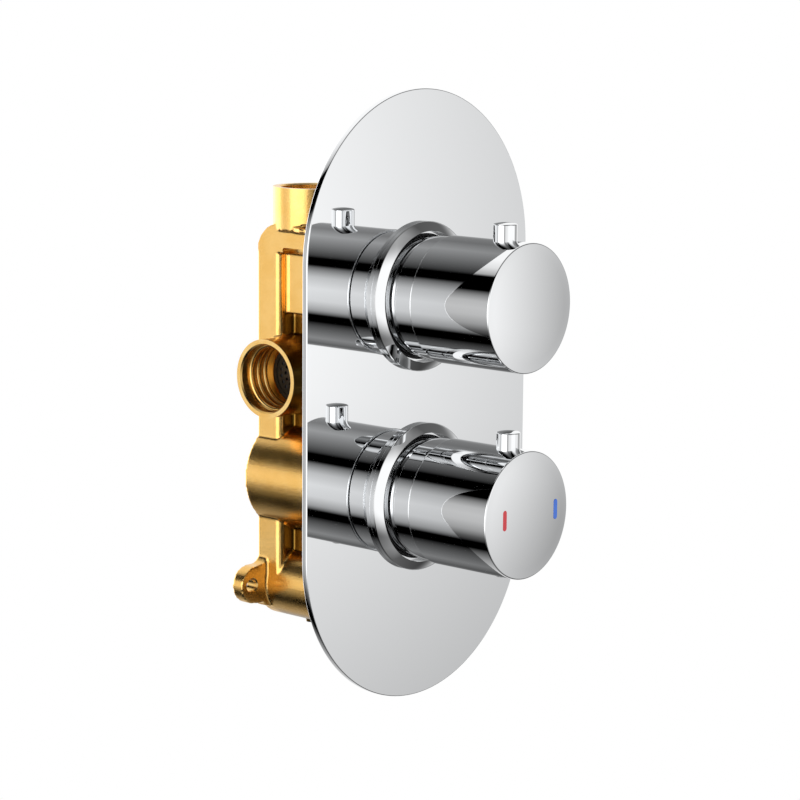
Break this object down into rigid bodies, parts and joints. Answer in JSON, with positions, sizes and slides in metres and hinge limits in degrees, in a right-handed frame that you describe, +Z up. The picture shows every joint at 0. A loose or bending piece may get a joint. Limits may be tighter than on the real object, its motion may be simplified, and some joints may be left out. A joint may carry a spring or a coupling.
{
  "type": "concealed thermostatic shower valve",
  "caption": "Concealed shower valve: cast brass body set in the wall, tall rounded chrome faceplate, an upper flow handle and a lower temperature handle with lever pins",
  "frame": {"origin": "centre of the faceplate's back face, on the finished wall", "axes": "+X right as seen from the shower, +Y into the wall, +Z up; the handles face -Y"},
  "size_m": [0.13, 0.1305, 0.242],
  "materials": {
    "chrome_plate": "polished",
    "cast_brass": "satin",
    "turned_brass": "satin",
    "element_copper": "satin",
    "disc_ceramic": "satin",
    "seal_rubber": "matte",
    "foam_gasket": "matte",
    "spring_steel": "satin",
    "cartridge_plastic": "matte",
    "adapter_plastic": "matte",
    "hot_red": "gloss",
    "cold_blue": "gloss"
  },
  "bodies": {
    "valve": {"valve_body": "cast_brass", "faceplate": "chrome_plate", "faceplate_gasket": "foam_gasket", "flow_collar": "chrome_plate", "temperature_collar": "chrome_plate", "flow_collar_seal": "seal_rubber", "temperature_collar_seal": "seal_rubber", "flow_sleeve": "chrome_plate", "temperature_sleeve": "chrome_plate", "flow_cartridge_body": "turned_brass", "flow_base_gasket": "seal_rubber", "flow_fixed_disc": "disc_ceramic", "flow_cartridge_seal": "seal_rubber", "flow_nut": "turned_brass", "thermostat_body": "cartridge_plastic", "thermostat_end_cap": "cartridge_plastic", "thermostat_seals": "seal_rubber", "thermostat_nut": "turned_brass", "temperature_gland": "turned_brass", "temperature_gland_seal": "seal_rubber", "temperature_stop_ring": "cartridge_plastic", "return_spring": "spring_steel", "hot_filter": "spring_steel", "cold_filter": "spring_steel", "hot_check_housing": "cartridge_plastic", "cold_check_housing": "cartridge_plastic", "hot_check_seal": "seal_rubber", "cold_check_seal": "seal_rubber", "hot_check_spring": "spring_steel", "cold_check_spring": "spring_steel"},
    "flow_control": {"flow_handle": "chrome_plate", "flow_adapter": "adapter_plastic", "flow_lever_pin": "chrome_plate", "flow_plug": "chrome_plate", "flow_grub_screw": "spring_steel", "flow_spindle": "turned_brass", "flow_moving_disc": "disc_ceramic", "flow_spindle_seals": "seal_rubber", "flow_circlip": "spring_steel"},
    "temperature_control": {"temperature_handle": "chrome_plate", "temperature_adapter": "adapter_plastic", "temperature_lever_pin": "chrome_plate", "temperature_plug": "chrome_plate", "temperature_grub_screw": "spring_steel", "hot_mark": "hot_red", "cold_mark": "cold_blue", "temperature_spindle": "turned_brass", "temperature_stop_arm": "cartridge_plastic"},
    "thermostat_element": {"thermostat_adjuster": "turned_brass", "thrust_plate": "spring_steel", "overtravel_clip": "spring_steel", "overtravel_spring": "spring_steel", "wax_element": "element_copper", "thermostat_shuttle": "cartridge_plastic"},
    "hot_check": {"hot_check_poppet": "cartridge_plastic"},
    "cold_check": {"cold_check_poppet": "cartridge_plastic"}
  },
  "joints": [
    {"name": "flow_turn", "type": "hinge", "parent": "valve", "child": "flow_control", "pos_m": [0, 0, 0.04], "axis": [0, -1, 0], "range_deg": [0, 90]},
    {"name": "temperature_turn", "type": "hinge", "parent": "valve", "child": "temperature_control", "pos_m": [0, 0, -0.04], "axis": [0, -1, 0], "range_deg": [-135, 135]},
    {"name": "thermostat_travel", "type": "slide", "parent": "valve", "child": "thermostat_element", "axis": [0, -1, 0], "range_m": [-0.00095, 0.00095], "deforming": ["return_spring"]},
    {"name": "hot_check_lift", "type": "slide", "parent": "valve", "child": "hot_check", "axis": [1, 0, 0], "range_m": [0, 0.0018], "stiffness_N_per_m": 60, "springref_m": -0.004, "deforming": ["hot_check_spring"]},
    {"name": "cold_check_lift", "type": "slide", "parent": "valve", "child": "cold_check", "axis": [-1, 0, 0], "range_m": [0, 0.0018], "stiffness_N_per_m": 60, "springref_m": -0.004, "deforming": ["cold_check_spring"]}
  ],
  "couplings": [
    {"joint": "thermostat_travel", "follows": "temperature_turn", "m_per_rad": 0.0004}
  ]
}
